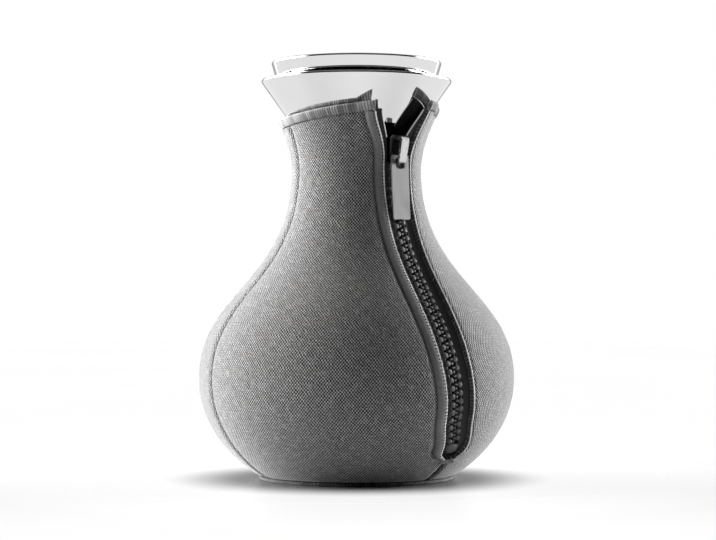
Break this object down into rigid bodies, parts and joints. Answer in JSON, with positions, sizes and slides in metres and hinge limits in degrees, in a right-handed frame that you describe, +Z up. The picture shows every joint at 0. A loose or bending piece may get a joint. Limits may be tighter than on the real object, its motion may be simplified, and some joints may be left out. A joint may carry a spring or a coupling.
{
  "type": "tea maker",
  "caption": "Bottle-shaped glass tea carafe in a woven zipped cover, with a flared steel pouring collar, a lift-out strainer and a sunk lid.",
  "frame": {"origin": "on the floor, on the axis of the carafe", "axes": "+Z up along the carafe's axis, -Y towards the front of the cover, with the zip to the right of the front"},
  "size_m": [0.1494, 0.1495, 0.1985],
  "materials": {
    "glass": "clear",
    "silicone": "matte",
    "polished_steel": "mirror polished",
    "brushed_steel": "brushed",
    "woven_cloth": "two-tone weave on foam",
    "binding_cloth": "smooth",
    "black_cloth": "matte",
    "tooth_plastic": "matte",
    "dark_metal": "gloss"
  },
  "bodies": {
    "carafe": {"glass_carafe": "glass", "cover_front_panel": "woven_cloth", "cover_left_panel": "woven_cloth", "cover_back_panel": "woven_cloth", "cover_right_panel": "woven_cloth", "cover_top_hem": "woven_cloth", "cover_base": "black_cloth", "cover_base_binding": "black_cloth", "zip_binding_left": "binding_cloth", "zip_binding_right": "black_cloth", "zip_tape_left": "black_cloth", "zip_tape_right": "black_cloth", "zip_teeth_left": "tooth_plastic", "zip_teeth_right": "tooth_plastic", "zip_bottom_stop": "tooth_plastic", "zip_end_bar": "black_cloth"},
    "collar": {"pouring_collar": "polished_steel", "collar_seal": "silicone"},
    "strainer": {"strainer_funnel": "polished_steel", "strainer_basket": "brushed_steel", "strainer_base": "brushed_steel"},
    "lid": {"lid_plate": "polished_steel", "lid_seal": "silicone", "lid_knob": "polished_steel", "lid_knob_screw": "brushed_steel"},
    "zip_slider": {"zip_slider_body": "dark_metal", "zip_slider_bridge": "brushed_steel"},
    "pull_tab": {"zip_pull_tab": "brushed_steel"}
  },
  "joints": [
    {"name": "collar_lift", "type": "slide", "parent": "carafe", "child": "collar", "axis": [0, 0, 1], "range_m": [0, 0.06]},
    {"name": "strainer_lift", "type": "slide", "parent": "collar", "child": "strainer", "axis": [0, 0, 1], "range_m": [0, 0.16]},
    {"name": "lid_lift", "type": "slide", "parent": "strainer", "child": "lid", "axis": [0, 0, 1], "range_m": [0, 0.05]},
    {"name": "zip_run", "type": "hinge", "parent": "carafe", "child": "zip_slider", "pos_m": [0.04823, -0.06173, 0.14531], "axis": [-0.788, -0.6157, 0], "range_deg": [0, 30], "deforming": ["zip_teeth_left", "zip_teeth_right", "zip_tape_left", "zip_tape_right"]},
    {"name": "tab_swing", "type": "hinge", "parent": "zip_slider", "child": "pull_tab", "pos_m": [0.01995, -0.02553, 0.15175], "axis": [-0.788, -0.6157, 0], "range_deg": [0, 100]}
  ]
}
